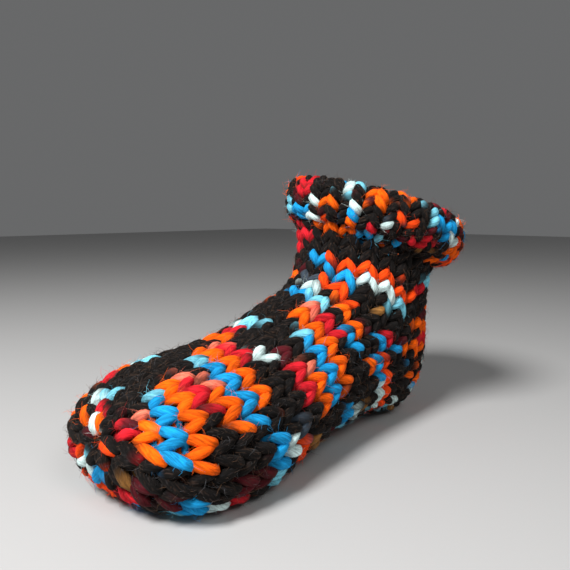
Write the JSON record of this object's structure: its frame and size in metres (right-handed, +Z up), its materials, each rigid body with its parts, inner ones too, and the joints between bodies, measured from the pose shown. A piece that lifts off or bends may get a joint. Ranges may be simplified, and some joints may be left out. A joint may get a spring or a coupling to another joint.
{
  "type": "slipper sock",
  "caption": "Chunky hand-knitted ankle slipper sock: one hollow knitted body with turned heel and rounded toe, and a thick doubled cuff round its open collar.",
  "frame": {"origin": "on the floor plane under the middle of the sock's bounding box", "axes": "toe along -X, heel along +X, near side along -Y, +Z up from the floor it stands on"},
  "size_m": [0.271, 0.1116, 0.1546],
  "materials": {
    "sock_knit": "matt fuzzy variegated yarn, mostly black with orange, blue, red and white runs",
    "cuff_knit": "matt fuzzy variegated yarn, mostly black with orange, blue, red and white runs"
  },
  "bodies": {
    "root": {"knitted_sock": "sock_knit", "turned_cuff": "cuff_knit"}
  },
  "joints": []
}
